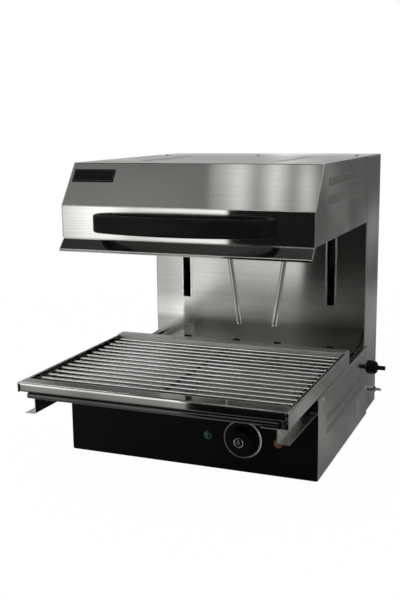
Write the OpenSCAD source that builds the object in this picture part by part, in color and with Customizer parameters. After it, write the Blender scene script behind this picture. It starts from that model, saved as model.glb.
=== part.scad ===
// Rise-and-fall salamander grill (cheese melter).
// Millimetres. X runs to the right, the control panel faces -Y, +Z is up.
// The origin is on the counter, under the middle of the casing's footprint.

/* [Overall] */
// Width of the hood and of the rear column
hood_w = 450; // [430:2:480]
// Depth of the casing, control panel to back cover
body_d = 484; // [474:2:520]
// Height from the counter to the top of the hood
body_h = 522; // [514:2:540]
// Thickness of the stainless casing sheet
sheet = 1.2; // [1:0.1:1.5]
// Outside radius of the casing's bends
bend_r = 2.6; // [2:0.2:3.2]

/* [Base] */
// Width of the base casing
base_w = 458; // [452:2:500]
// Height of the upper edges of the base's side walls
base_top = 146; // [142:1:147]
// How far the base's top lies below those edges
deck_drop = 8; // [6:0.5:9]
// Width of the raised rim along each side wall
rim_w = 12; // [10:0.5:13]
// Height of the rubber feet
foot_h = 6; // [5:0.5:8]
// Radius of a foot at its sole
foot_r = 15; // [12:0.5:18]
// Distance of a foot's centre from the casing's edges
foot_inset = 34; // [28:1:44]
// Thickness of the control panel
panel_t = 1.5; // [1:0.1:2]
// How far the base's sides run back past the column's front
base_lap = 14; // [8:1:20]

/* [Column] */
// Depth of the rear column
column_d = 116; // [110:1:124]
// Distance between the middles of the two carriage slots
slot_spacing = 310; // [290:2:320]
// Width of a carriage slot
slot_w = 22; // [20:0.5:24]
// Height of the slots' lower ends
slot_low = 226.5; // [222:0.5:232]
// Thickness of the slot liners
liner_t = 2.8; // [2:0.1:3.2]
// Half spacing of the pressed beads at their lower ends
bead_low_x = 38; // [30:1:50]
// Half spacing of the pressed beads at their upper ends
bead_high_x = 82; // [70:1:95]
// Inside radius of a pressed bead
bead_r = 4.7; // [4:0.1:4.9]
// Height of the beads' lower ends
bead_low = 178; // [174:1:200]

/* [Hood] */
// How far the hood's top front edge lies behind the control panel
hood_setback = 36; // [30:1:44]
// How far the hood's upright band stands ahead of the control panel
band_overhang = 14.5; // [10:0.5:20]
// Height of the upper edge of the band
band_top = 451; // [440:1:458]
// Height of the hood's lower edge
hood_low = 396; // [390:1:400]
// Height of the visor, from the hood's lower edge to its lip
visor_h = 22; // [18:0.2:26]
// How far the visor flares ahead of the band
visor_flare = 15; // [10:0.5:18]
// Height of the flat lip along the visor
visor_lip = 4; // [3:0.5:6]
// Gap between the hood and the column's front
hood_gap = 4; // [3.6:0.1:6]

/* [Handle] */
// Width of the handle over its ends
handle_w = 322; // [280:1:360]
// How far the handle stands out at its middle
handle_reach = 48; // [42:1:60]
// Height of the handle's grip
handle_h = 31; // [26:1:34]
// Thickness of the handle's grip
handle_t = 12; // [10:0.5:14]
// Radius of the turn at each end of the handle
handle_turn = 20; // [16:1:24]

/* [Lift] */
// How far the hood comes down
lift_travel = 165; // [120:1:166]
// Radius of a guide rod
rod_r = 6; // [5:0.5:7]
// Running clearance of a bush on its rod, on the radius
rod_fit = 0.05; // [0.02:0.01:0.09]
// Outside radius of a bush
bush_r = 9; // [8.5:0.5:10]
// Length of a bush housing
housing_h = 26; // [22:1:30]
// Distance from the column's front to the guide rods' axes
rod_depth = 39; // [38:0.5:44]
// Mean radius of a balance spring's coils
spring_r = 7; // [6:0.5:8]
// Radius of the springs' wire
wire_r = 1.1; // [0.8:0.1:1.3]
// Number of coils in a balance spring
spring_coils = 20; // [14:1:22]

/* [Heating] */
// Radius of a heating element's tube
tube_r = 4; // [3.2:0.1:4.2]
// Distance between an element's passes
pass_pitch = 32; // [28:1:34]
// Length of an element's straight passes
pass_length = 350; // [320:2:356]
// Thickness of the reflector's sheet
reflector_t = 1; // [0.8:0.1:1.2]

/* [Rack] */
// How far the rack's frame stands out past each side of the base
rack_over = 1; // [-1:0.5:11]
// Depth of the rack's frame
rack_d = 382; // [366:2:384]
// How far the rack stands pulled out of the base
rack_pull = 148; // [120:1:150]
// How far the closed rack's front stands ahead of the control panel
rack_nose = 20; // [12:1:24]
// Depth of the rack frame's side plates
rack_h = 28.3; // [26:0.1:30]
// Clearance between the base's top and the rack's frame
rack_lift = 3; // [2.8:0.1:4]
// Radius of a grill rod
grill_r = 2.5; // [2:0.1:2.8]
// Number of grill rods
grill_rods = 15; // [11:1:17]
// Depth of the frame's flat front flange
front_flange = 26; // [20:1:30]
// Width of the frame's side flanges
side_flange = 6; // [4:0.5:8]
// Depth of the frame's back flange
back_flange = 26; // [22:1:28]
// How far the frame's back rail stands above its sides
rear_rise = 1.5; // [1:0.5:3.5]
// Radius of the drip tray's rolled front edge
roll_r = 5; // [4:0.1:5.3]
// Height of the drip tray's walls
tray_h = 9.5; // [7:0.1:9.8]

/* [Controls] */
// Distance of the knob from the middle of the panel
knob_x = 99; // [60:1:120]
// Height of the knob's axis above the counter
knob_z = 64; // [50:1:70]
// How far the knob's face stands ahead of the panel
knob_reach = 21; // [16:0.5:24]
// Radius of the knob's skirt
knob_r = 29; // [24:0.5:30]
// Width of the chrome ring around the knob
dial_ring = 4; // [3:0.5:6]
// Distance from the knob's axis to each lamp's
lamp_spacing = 62.5; // [50:0.5:70]
// Radius of a lamp's lens
lamp_r = 7; // [5.5:0.5:8]
// Radius of the knob's spindle
spindle_r = 3; // [2.5:0.1:3.5]

/* [Services] */
// Distance of the cable gland behind the column's front
gland_y = 57; // [46:1:64]
// Height of the cable gland's axis
gland_z = 91.5; // [80:0.5:110]
// Radius of the hole through the gland's sleeve
cord_r = 3.5; // [3:0.1:4]
// Radius of the bonding stud
stud_r = 3; // [2.5:0.5:4]

/* [Vents] */
// Width of a vent slot
vent_w = 4; // [3:0.5:5]
// Height of a vent slot
vent_h = 15; // [12:1:17]
// Distance between vent slots
vent_pitch = 8; // [7:0.5:12]
// Distance between the vent slots in the hood's top
top_vent_pitch = 11; // [8:0.5:16]

/* [Hidden] */
$fn = 48;

// Clearances
touch_gap = 0.3;
slide_gap = 0.4;
over = 1;

// Planes of the casing
front_y = -body_d / 2;
back_y = body_d / 2;
column_y = back_y - column_d;
inner_w = hood_w - 2 * sheet;
base_inner = base_w - 2 * sheet;
floor_z = foot_h + sheet;
cover_y = back_y - sheet;
panel_back = front_y + panel_t;
deck_z = base_top - deck_drop;
rim_in = base_w / 2 - rim_w;

// Hood
hood_y_top = front_y + hood_setback;
band_y = front_y - band_overhang;
hood_back = column_y - hood_gap;
band_mid = (band_top + hood_low) / 2;
lip_z = hood_low - visor_h;
hood_outline = [
    [hood_back, body_h], [hood_y_top, body_h], [band_y, band_top], [band_y, hood_low]
];

// Carriages and slots
slot_x = slot_spacing / 2;
slot_high = body_h - 20;
flange_t = 3;
liner_lip = hood_gap - flange_t - slide_gap;
liner_depth = 8;
bead_sink = 2.7;
web_w = 8;
arm_low = hood_low + 10;
arm_high = body_h - 26;
plate_t = 4;
plate_y = column_y + 12;
plate_back = plate_y + plate_t;
plate_w = 34;
plate_low = hood_low - 96;
rod_y = column_y + rod_depth;
housing_r = bush_r + 5;
housing_lows = [plate_low + 20, arm_high - housing_h - 15];
bush_flange_r = bush_r + 2;
bush_flange_t = 2;
lug_t = 4;
lug_depth = 10;
flange_half = 20;
fixing_r = 2.9;
bracket_t = 3;
bracket_high = arm_high + 9;
bracket_low = plate_low - lift_travel - 28;
bracket_half = inner_w / 2 - 30;
bracket_reach = 14;
bracket_leg = 20;
bracket_lip = 12;
rod_end = 5;
spring_x = slot_x - 33;
spring_low = plate_low + lug_t;
spring_tail = 12;
coil_steps = 10;
wire_sides = 6;
bolt_z = plate_low + 16;
bolt_r = 5.2;
fixing_rise = [14, arm_high - arm_low - 14];
fixing_spread = 14;
fixing_head = 5;

// Heating
element_z = hood_low + 16;
reflector_z = element_z + 18;
shelf_w = 15;
reflector_lip = hood_low + sheet;
reflector_w = inner_w - 22;
reflector_front = band_y + 16.5;
reflector_back = hood_back - 22;
reflector_slope = 22;
reflector_r = 4;
hanger_drop = 7;
passes = 4;
element_d = (passes - 1) * pass_pitch;
element_mid = (reflector_front + reflector_back) / 2;
element_gap = 44;
element_front_y = element_mid - element_gap / 2 - element_d;
element_rear_y = element_mid + element_gap / 2;
bush_out = 7;
tube_end = reflector_w / 2 + bush_out - 4;
hanger_xs = [-150, 0, 150];
hanger_t = 1.5;
insulation_t = 34;
bush_bore = 0.1;
terminals = [60, 18, 18];

// Handle
handle_z = band_mid;
handle_corner = 4.5;
handle_half = handle_w / 2 - handle_t / 2;
handle_out = handle_reach - handle_t / 2;
bow_p = handle_half - handle_turn;
bow_q = handle_out - handle_turn;
bow_gap = (bow_p * bow_p + bow_q * bow_q) / (2 * bow_q);
bow_r = bow_gap + handle_turn;
bow_angle = asin(bow_p / bow_gap);
handle_screw_r = 2.5;
handle_screw_l = 9;

// Rack
rack_w = base_w + 2 * rack_over;
rack_low = base_top + rack_lift;
rack_top = rack_low + rack_h;
rack_front = front_y - rack_nose - rack_pull;
rack_back = rack_front + rack_d;
grid_ledge_z = rack_low + 12.5;
grid_low = grid_ledge_z + sheet + touch_gap;
bar_h = 5;
bar_w = 5;
ledge_reach = 7;
rail_lip = 10;
rail_end = 4;
corner_cut = 30;
grill_z = grid_low + bar_h - over + grill_r;
grid_front = rack_front + front_flange + over;
grid_back = rack_back - back_flange - over;
grill_margin = 10;
rod_first = grid_front + grill_margin;
rod_last = grid_back - grill_margin / 2;
rod_pitch = (rod_last - rod_first) / (grill_rods - 1);
grid_half = rack_w / 2 - side_flange - 2;
bar_xs = [-grid_half + 9, 0, grid_half - 9];
rack_inner = rack_w / 2 - sheet;
tray_t = 0.8;
tray_low = rack_low + sheet + touch_gap;
tray_half = rack_w / 2 - 17;
tray_front = rack_front + 2 * roll_r;
tray_back = rack_back - sheet - 4;

// Runners and their guides
guide_wall = base_inner / 2;
flange_tip = guide_wall - sheet - 0.6;
runner_web = flange_tip - 18;
runner_top = runner_web - 18;
runner_low = base_top - 24;
runner_front = rack_front + 14;
runner_back = rack_back - 11;
runner_slot = 5.2;
guide_lip = 14;
rivet_x = runner_web - 10;
rivet_edge = 12;
frame_ledge = rack_w / 2 - rivet_x + rivet_edge;
rivet_count = 3;
rivet_margin = 26;
rivet_r = 4;
rivet_head = 1.3;
rivet_shank = 1.9;

// Controls
dial_in = knob_r + 1;
dial_out = dial_in + dial_ring;
cap_r = 8.5;
spindle_fit = 0.05;
spindle_top = knob_reach - 5;
spindle_foot = -panel_t - 15;
cap_recess = 1.2;
body_r = 18;
body_l = 30;
body_flange = 6;
lamp_shank = 4.9;
knob_hole = 5;

// Services
gland_at = column_y + gland_y;
gland_hole = 10.2;
sleeve_r = cord_r + 1;
gland_l = 16;
sleeve_end = 31.5;
stud_at = [column_y + 70, 42];
stud_in = 11;
stud_out = 22;
stud_neck = 0.8;
nut_t = 4.8;
nut_r = 5.8;
washer_r = 6.5;
washer_t = 1.2;
nuts_out = washer_t + 2 * nut_t;

// Vents, each row as [lowest y, highest y, lower edge z]
hood_vents = [for (drop = [38, 68]) [front_y + 66, hood_back - 44, body_h - drop]];
base_vents = [for (drop = [57, 79]) [front_y + 59, column_y - 50, base_top - drop]];
top_vent_x = 125;
top_vent_l = 20;
top_vent_first = hood_y_top + 70;
top_vent_last = hood_back - 46;
cover_rows = 5;

// Screws
screw_r = 3.6;
screw_h = 2;
shank_r = 1.9;
shank_hole = 2;
shank_l = 7;
casing_screw = [front_y + 32, base_top - 9.4];
top_screw_x = 200;
top_screw_y = column_y + 10;
cover_screw_x = inner_w / 2 - 6;
cover_screw_zs = [24, bracket_high / 3, bracket_high * 2 / 3, bracket_high - 12];
notch_xs = [-155, -45, 45, 155];

// Colours
steel = [0.72, 0.72, 0.70];
bright = [0.85, 0.85, 0.84];
black = [0.06, 0.06, 0.065];
grey = [0.35, 0.35, 0.36];
brass = [0.75, 0.6, 0.3];
ceramic = [0.9, 0.88, 0.82];

// ---- Paths of bent sheet ----

function unit(v) = v / norm(v);

// Points on the arc of radius r that rounds the corner a-b-c
function corner_arc(a, b, c, r, steps) =
    let (
        u = unit(a - b),
        v = unit(c - b),
        half = acos(u * v) / 2,
        centre = b + unit(u + v) * r / sin(half),
        p = b + u * r / tan(half) - centre,
        turn = (90 - half) * 2 * sign(cross(b - a, c - b)),
        start = atan2(p[1], p[0])
    )
    [for (i = [0:steps]) centre + r * [cos(start + turn * i / steps), sin(start + turn * i / steps)]];

// The path with each inner corner rounded
function rounded(path, r, steps = 4) =
    concat(
        [path[0]],
        [for (i = [1:len(path) - 2]) each corner_arc(path[i - 1], path[i], path[i + 1], r, steps)],
        [path[len(path) - 1]]
    );

function left_of(a, b) = [a[1] - b[1], b[0] - a[0]] / norm(b - a);
function mitre(m, n) = (m + n) / (1 + m * n);
function side_step(path, i) =
    i == 0 ? left_of(path[0], path[1])
    : i == len(path) - 1 ? left_of(path[i - 1], path[i])
    : mitre(left_of(path[i - 1], path[i]), left_of(path[i], path[i + 1]));

// Outline of a sheet of thickness t that lies to the left of the path
function sheet_outline(path, t) =
    concat(path, [for (i = [len(path) - 1:-1:0]) path[i] + t * side_step(path, i)]);

module bent(path, t = sheet, r = bend_r) {
    polygon(sheet_outline(rounded(path, r), t));
}

// Outline of the space under such a sheet together with the sheet
function filled_outline(path, t) =
    concat([path[0]], [for (i = [0:len(path) - 1]) path[i] + t * side_step(path, i)], [path[len(path) - 1]]);

// Extrude a (y, z) outline between two x planes
module along_x(x0, x1) {
    translate([x0, 0, 0]) rotate([90, 0, 90]) linear_extrude(x1 - x0) children();
}

// Extrude an (x, z) outline between two y planes
module along_y(y0, y1) {
    translate([0, y1, 0]) rotate([90, 0, 0]) linear_extrude(y1 - y0) children();
}

// Stand something on the control panel: its z axis points out of the panel
module on_panel(x, z) {
    translate([x, front_y, z]) rotate([90, 0, 0]) children();
}

module both_sides() {
    children();
    mirror([1, 0, 0]) children();
}

module box(low, high) {
    translate(low) cube(high - low);
}

module round_rect(w, h, r) {
    square([w, h - 2 * r], center = true);
    square([w - 2 * r, h], center = true);
    for (x = [-1, 1], y = [-1, 1]) translate([x * (w / 2 - r), y * (h / 2 - r)]) circle(r);
}

// Vent slots of both casing sides, as (y, z) rectangles
module vent_slots(rows) {
    for (row = rows) {
        count = floor((row[1] - row[0]) / vent_pitch);
        for (i = [0:count]) translate([row[0] + i * vent_pitch, row[2]]) square([vent_w, vent_h]);
    }
}

// Screw with a domed head; the head sits on z = 0 and points to +z
module screw(length = shank_l) {
    rotate_extrude() polygon(concat(
        [[0, -length], [shank_r, -length], [shank_r, 0], [screw_r, 0]],
        [for (a = [0:15:90]) [screw_r * cos(a), screw_h * (0.35 + 0.65 * sin(a))]]
    ));
}

module face_right(y, z, x = hood_w / 2) {
    translate([x, y, z]) rotate([0, 90, 0]) children();
}

// ---- Base ----

module base_casing() color(steel) difference() {
    union() {
        along_y(panel_back, column_y) bent([
            [base_w / 2, foot_h], [base_w / 2, base_top], [rim_in, base_top], [rim_in, deck_z],
            [-rim_in, deck_z], [-rim_in, base_top], [-base_w / 2, base_top], [-base_w / 2, foot_h]
        ]);
        both_sides() {
            box([base_inner / 2, column_y - over, foot_h], [base_w / 2, column_y + base_lap, base_top]);
            box(
                [hood_w / 2 + touch_gap, column_y + base_lap - sheet, foot_h],
                [base_w / 2, column_y + base_lap, base_top]
            );
        }
    }
    both_sides() {
        box(
            [runner_web - sheet / 2 - runner_slot / 2, panel_back - over, deck_z - 2 * sheet],
            [runner_web - sheet / 2 + runner_slot / 2, column_y - 10, deck_z + over]
        );
        face_right(casing_screw[0], casing_screw[1], base_w / 2 - 2 * sheet)
            cylinder(r = shank_hole, h = 3 * sheet);
    }
    along_x(-base_w, base_w) vent_slots(base_vents);
}

module bottom_outline() {
    half = base_inner / 2;
    rear = inner_w / 2;
    polygon([
        [-half, panel_back], [half, panel_back], [half, column_y], [rear, column_y],
        [rear, cover_y], [-rear, cover_y], [-rear, column_y], [-half, column_y]
    ]);
}

module foot_places() {
    for (x = [-1, 1], y = [-1, 1])
        translate([x * (hood_w / 2 - foot_inset), y * (body_d / 2 - foot_inset), 0]) children();
}

module bottom_plate() color(steel) {
    lip = 12;
    rear = inner_w / 2;
    difference() {
        translate([0, 0, foot_h]) linear_extrude(sheet) bottom_outline();
        foot_places() cylinder(r = shank_hole, h = 4 * foot_h, center = true);
        for (x = [-120:20:120]) translate([x, 0, 0]) box([-3, -60, 0], [3, 60, 3 * foot_h]);
    }
    box([-base_inner / 2, panel_back, foot_h], [base_inner / 2, panel_back + sheet, foot_h + lip]);
    box([-rear, cover_y - sheet, foot_h], [rear, cover_y, foot_h + lip]);
}

module panel_outline() {
    corner = 3;
    difference() {
        translate([0, (foot_h + base_top) / 2]) round_rect(base_w, base_top - foot_h, corner);
        both_sides() translate([runner_web - 4, runner_low - 4.5]) square([base_w, base_top]);
    }
}

module control_panel() color(black) difference() {
    along_y(front_y, panel_back) panel_outline();
    on_panel(knob_x, knob_z) cylinder(r = knob_hole, h = 4 * panel_t, center = true);
    for (side = [-1, 1]) on_panel(knob_x + side * lamp_spacing, knob_z)
        cylinder(r = lamp_shank, h = 4 * panel_t, center = true);
}

module feet() color(black) foot_places() difference() {
    rotate_extrude() polygon([
        [0, 0], [foot_r - 1, 0], [foot_r, 1], [foot_r - 1.5, foot_h], [0, foot_h]
    ]);
    translate([0, 0, -over]) cylinder(r = screw_r + 1.4, h = over + foot_h / 2);
    cylinder(r = shank_r, h = foot_h + over);
}

module foot_screws() color(bright) foot_places()
    translate([0, 0, foot_h / 2]) mirror([0, 0, 1]) screw(foot_h / 2 + 5);

module casing_screws() color(bright) both_sides()
    face_right(casing_screw[0], casing_screw[1], base_w / 2) screw();

module runner_guides() color(steel) both_sides() {
    low = runner_low - sheet - slide_gap;
    high = runner_low + slide_gap;
    along_y(panel_back + over, column_y - 6) polygon([
        [guide_wall - guide_lip, low - sheet], [guide_wall, low - sheet], [guide_wall, high + sheet],
        [guide_wall - guide_lip, high + sheet], [guide_wall - guide_lip, high],
        [guide_wall - sheet, high], [guide_wall - sheet, low], [guide_wall - guide_lip, low]
    ]);
}

// ---- Column ----

module column_shell() color(steel) difference() {
    union() {
        along_y(column_y, back_y) bent([
            [hood_w / 2, foot_h], [hood_w / 2, body_h], [-hood_w / 2, body_h], [-hood_w / 2, foot_h]
        ]);
        both_sides() box(
            [inner_w / 2 - 12, cover_y - sheet, foot_h + 14], [inner_w / 2 + over / 2, cover_y, body_h - sheet]
        );
    }
    face_right(gland_at, gland_z, inner_w / 2 - over) cylinder(r = gland_hole, h = 4 * sheet);
    face_right(stud_at[0], stud_at[1], inner_w / 2 - over) cylinder(r = stud_r, h = 4 * sheet);
    for (x = [-1:1]) translate([x * top_screw_x, top_screw_y, body_h - 3 * sheet])
        cylinder(r = shank_hole, h = 4 * sheet);
    both_sides() for (z = cover_screw_zs) translate([cover_screw_x, cover_y - 4 * sheet, z])
        rotate([-90, 0, 0]) cylinder(r = shank_hole, h = 8 * sheet);
}

// A round-ended bar whose axis lies behind the panel's front face, turned about that axis
module bead_bar(r) {
    low = [bead_low_x, column_y + bead_sink, bead_low];
    high = [bead_high_x, column_y + bead_sink, slot_high - 30];
    length = norm(high - low);
    translate(low) rotate([0, atan2(high[0] - low[0], high[2] - low[2]), 0]) rotate_extrude() polygon(concat(
        [for (a = [-90:15:0]) [r * cos(a), r * sin(a)]],
        [for (a = [0:15:90]) [r * cos(a), length + r * sin(a)]]
    ));
}

// Outline of a sheet that closes the column's front or back, from a height up to its top
module column_outline(low) {
    half = inner_w / 2;
    high = body_h - sheet;
    polygon(rounded([[half, low], [half, high], [-half, high], [-half, low]], bend_r));
}

module column_front_panel() color(steel) difference() {
    union() {
        along_y(column_y, column_y + sheet) difference() {
            column_outline(deck_z - 14);
            both_sides() translate([slot_x - slot_w / 2, slot_low]) square([slot_w, slot_high - slot_low]);
            for (x = notch_xs) translate([x - 8, deck_z]) square([16, 5]);
        }
        intersection() {
            both_sides() bead_bar(bead_r + sheet);
            box([-hood_w, column_y - 10, 0], [hood_w, column_y + sheet, body_h]);
        }
    }
    both_sides() bead_bar(bead_r);
}

module slot_liners() color(bright) both_sides() translate([slot_x, 0, 0]) {
    flange = 4;
    inner = slot_w / 2 - liner_t;
    height = slot_high - slot_low;
    along_y(column_y - liner_lip, column_y + liner_depth) for (side = [-1, 1])
        translate([side * (slot_w - liner_t) / 2 - liner_t / 2, slot_low]) square([liner_t, height]);
    along_y(column_y + sheet, column_y + 2 * sheet) difference() {
        translate([-slot_w / 2 - flange, slot_low - flange])
            square([slot_w + 2 * flange, height + 2 * flange]);
        translate([-inner, slot_low]) square([2 * inner, height]);
    }
}

module back_cover() color(steel) difference() {
    along_y(cover_y, back_y) difference() {
        column_outline(floor_z);
        for (row = [0:cover_rows - 1], x = [-100:20:100])
            translate([x - 1.5, body_h - 60 - row * 26]) square([3, 18]);
    }
    both_sides() for (z = cover_screw_zs) translate([cover_screw_x, cover_y - 4 * sheet, z])
        rotate([-90, 0, 0]) cylinder(r = shank_hole, h = 8 * sheet);
}

module back_cover_screws() color(bright) both_sides() for (z = cover_screw_zs)
    translate([cover_screw_x, back_y, z]) rotate([-90, 0, 0]) screw();

module column_top_screws() color(grey) for (x = [-1:1])
    translate([x * top_screw_x, top_screw_y, body_h]) screw();

module guide_rods() color(bright) both_sides() translate([slot_x, rod_y, bracket_low - rod_end])
    cylinder(r = rod_r, h = bracket_high - bracket_low + bracket_t + 2 * rod_end);

// Shelf across the column that holds the guide rods; its leg is riveted to the column's flanges
module rod_bracket(z, leg) color(steel) difference() {
    union() {
        box([-bracket_half, rod_y - bracket_reach, z], [bracket_half, cover_y - sheet, z + bracket_t]);
        box(
            [-inner_w / 2, cover_y - sheet - bracket_t, min(z, z + leg)],
            [inner_w / 2, cover_y - sheet, max(z + bracket_t, z + leg)]
        );
    }
    both_sides() translate([slot_x, rod_y, z - over]) cylinder(r = rod_r, h = bracket_t + 2 * over);
}

module rod_bracket_low() rod_bracket(bracket_low, -bracket_leg);

module rod_bracket_high() rod_bracket(bracket_high, bracket_lip);

// ---- Balance springs ----

// Closed skin over a list of rings, each with the same number of points
module skin(rings) {
    sides = len(rings[0]);
    last = len(rings) - 1;
    walls = [
        for (i = [0:last - 1], k = [0:sides - 1]) let (m = (k + 1) % sides)
        each [
            [i * sides + k, (i + 1) * sides + k, i * sides + m],
            [i * sides + m, (i + 1) * sides + k, (i + 1) * sides + m]
        ]
    ];
    ends = [[for (k = [0:sides - 1]) k], [for (k = [sides - 1:-1:0]) last * sides + k]];
    polyhedron([for (ring = rings) each ring], concat(walls, ends), convexity = 10);
}

// Height and radius of the spring's wire centre at turn t: hooks on the axis, coils between
function spring_point(t, low, high) =
    let (
        ramp = min(1, max(0, min(t, spring_coils - t) * 2)),
        r = spring_r * ramp,
        z = low + (high - low) * t / spring_coils
    )
    [r * cos(360 * t), r * sin(360 * t), z];

function spring_path(low, high) =
    concat(
        [[0, 0, low - spring_tail]],
        [for (i = [0:coil_steps * spring_coils]) spring_point(i / coil_steps, low, high)],
        [[0, 0, high + spring_tail]]
    );

// Ring of wire around path point i; its first point faces away from the coil's axis
function wire_ring(path, i) =
    let (
        last = len(path) - 1,
        along = unit(path[min(i + 1, last)] - path[max(i - 1, 0)]),
        angle = 360 / coil_steps * (min(max(i, 1), last - 1) - 1),
        out = [cos(angle), sin(angle), 0],
        n = unit(out - (out * along) * along),
        b = cross(along, n)
    )
    [for (k = [0:wire_sides - 1]) path[i]
        + wire_r * (cos(360 * k / wire_sides) * n + sin(360 * k / wire_sides) * b)];

module balance_springs() color(grey) both_sides() translate([spring_x, rod_y, 0]) {
    path = spring_path(spring_low + spring_tail, bracket_high - spring_tail);
    skin([for (i = [0:len(path) - 1]) wire_ring(path, i)]);
}

// ---- Controls ----

module thermostat() color(grey) on_panel(knob_x, knob_z) difference() {
    union() {
        translate([0, 0, -panel_t - body_l]) cylinder(r = body_r, h = body_l - body_flange);
        translate([-body_r, -12, -panel_t - body_flange]) cube([2 * body_r, 24, body_flange]);
    }
    translate([0, 0, spindle_foot]) cylinder(r = spindle_r + spindle_fit, h = body_l);
}

module thermostat_spindle() color(brass) on_panel(knob_x, knob_z)
    translate([0, 0, spindle_foot]) cylinder(r = spindle_r, h = spindle_top - spindle_foot);

// Revolved lens in front of the panel with its lamp body behind
module lamp() {
    rotate_extrude() polygon(concat(
        [[0, -24], [lamp_shank, -24], [lamp_shank, 0], [lamp_r + 0.8, 0], [lamp_r + 0.8, 1]],
        [for (a = [0:15:90]) [lamp_r * cos(a), 1 + 2.6 * sin(a)]]
    ));
}

module power_lamp() color([0.1, 0.5, 0.25]) on_panel(knob_x - lamp_spacing, knob_z) lamp();

module heat_lamp() color([0.85, 0.45, 0.1]) on_panel(knob_x + lamp_spacing, knob_z) lamp();

module dial_ring_chrome() color(bright) on_panel(knob_x, knob_z) rotate_extrude() polygon([
    [dial_in, 0], [dial_out, 0], [dial_out, 1.2], [dial_out - 1.2, 2.4], [dial_in + 0.8, 2.4], [dial_in, 1.6]
]);

module control_knob() color(black) on_panel(knob_x, knob_z) difference() {
    grip_low = knob_r - 5;
    grip_high = knob_r - 7.5;
    edge = 2;
    rotate_extrude() polygon(concat(
        [[0, 1], [knob_r, 1], [knob_r, 2.6], [knob_r - 1, 3.6], [grip_low, 4.2]],
        [for (a = [0:15:90]) [grip_high - edge + edge * cos(a), knob_reach - edge + edge * sin(a)]],
        [[0, knob_reach]]
    ));
    for (i = [0:17]) rotate(i * 20) translate([knob_r - 3.4, 0, 4.6]) cylinder(r = 3, h = knob_reach);
    translate([0, 0, knob_reach - cap_recess]) cylinder(r = cap_r, h = 2 * cap_recess);
    cylinder(r = spindle_r, h = spindle_top);
}

module knob_cap() color(bright) on_panel(knob_x, knob_z) translate([0, 0, knob_reach - cap_recess])
    difference() {
        rotate_extrude() polygon([
            [0, 0], [cap_r, 0], [cap_r, 1.4], [cap_r - 0.8, 2], [cap_r - 1.6, 1.2], [0, 1.2]
        ]);
        translate([-0.8, 0, 0.8]) cube([1.6, cap_r + over, 2]);
    }

// ---- Services ----

module mains_terminal_block() translate([slot_x, column_y + rod_depth, floor_z]) terminal_block(terminals);

module cable_gland() color(black) face_right(gland_at, gland_z) difference() {
    union() {
        translate([0, 0, -14]) cylinder(r = gland_hole - 0.2, h = 15);
        cylinder(r = 14.5, h = 6, $fn = 6);
        rotate_extrude() polygon([
            [0, 5], [12.8, 5], [12.8, gland_l - 5], [11.6, gland_l - 2], [8.6, gland_l], [0, gland_l]
        ]);
        for (i = [0:11]) rotate(i * 30) translate([12.2, 0, 6]) cylinder(r = 1.2, h = gland_l - 10);
    }
    translate([0, 0, -15]) cylinder(r = sleeve_r, h = 40);
}

module gland_locknut() color(black) face_right(gland_at, gland_z) translate([0, 0, -sheet - 5])
    difference() {
        cylinder(r = 15, h = 5, $fn = 6);
        translate([0, 0, -over]) cylinder(r = gland_hole - 0.2, h = 5 + 2 * over);
    }

module gland_sleeve() color(black) face_right(gland_at, gland_z) difference() {
    translate([0, 0, 4]) cylinder(r = sleeve_r, h = sleeve_end - 4);
    cylinder(r = cord_r, h = sleeve_end + over);
}

module bonding_stud() color(bright) face_right(stud_at[0], stud_at[1]) rotate_extrude() polygon([
    [0, -stud_in], [stud_r, -stud_in], [stud_r, nuts_out], [stud_r - stud_neck / 2, nuts_out],
    [stud_r - stud_neck / 2, nuts_out + stud_neck], [stud_r, nuts_out + stud_neck],
    [stud_r, stud_out - over], [stud_r - over, stud_out], [0, stud_out]
]);

module bonding_nuts() color(bright) face_right(stud_at[0], stud_at[1]) difference() {
    union() {
        translate([0, 0, -sheet - nut_t]) cylinder(r = nut_r, h = nut_t, $fn = 6);
        cylinder(r = washer_r, h = washer_t);
        for (i = [0, 1]) translate([0, 0, washer_t + i * nut_t]) rotate(i * 17)
            cylinder(r = nut_r, h = nut_t, $fn = 6);
    }
    translate([0, 0, -stud_in]) cylinder(r = stud_r, h = stud_in + stud_out);
}

// ---- Hood ----

module hood_wrap() color(steel) difference() {
    along_x(-inner_w / 2, inner_w / 2) bent(hood_outline);
    for (y = [top_vent_first:top_vent_pitch:top_vent_last]) both_sides() translate([top_vent_x, y, 0])
        box([-top_vent_l / 2, 0, body_h - 3 * sheet], [top_vent_l / 2, vent_w, body_h + over]);
    both_sides() translate([handle_half, band_y - over, handle_z]) rotate([-90, 0, 0])
        cylinder(r = 2.6, h = 3 * sheet);
}

module hood_side() color(steel) {
    along_x(inner_w / 2, hood_w / 2) difference() {
        polygon(concat(rounded(hood_outline, bend_r), [[hood_back, hood_low]]));
        vent_slots(hood_vents);
    }
    box(
        [inner_w / 2 - shelf_w, band_y + 8, hood_low],
        [inner_w / 2 + sheet / 2, hood_back - sheet, hood_low + sheet]
    );
}

module hood_side_left() mirror([1, 0, 0]) hood_side();

module hood_side_right() hood_side();

module hood_visor() color(steel) along_x(-inner_w / 2, inner_w / 2) bent([
    [band_y + sheet, hood_low + 14], [band_y + sheet, hood_low - 1.5],
    [band_y - visor_flare + 0.6, lip_z + visor_lip], [band_y - visor_flare, lip_z]
], r = 2);

module hood_back_plate() color(steel) difference() {
    along_y(hood_back - sheet, hood_back)
        translate([-inner_w / 2, hood_low]) square([inner_w, body_h - sheet - hood_low]);
    fixing_places() cylinder(r = fixing_r, h = 8 * sheet, center = true);
}

// Places of the screws between hood and carriages; their z axis points to the front
module fixing_places() both_sides() for (side = [-1, 1], rise = fixing_rise)
    translate([slot_x + side * fixing_spread, hood_back - sheet, arm_low + rise]) rotate([90, 0, 0])
        children();

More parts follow.
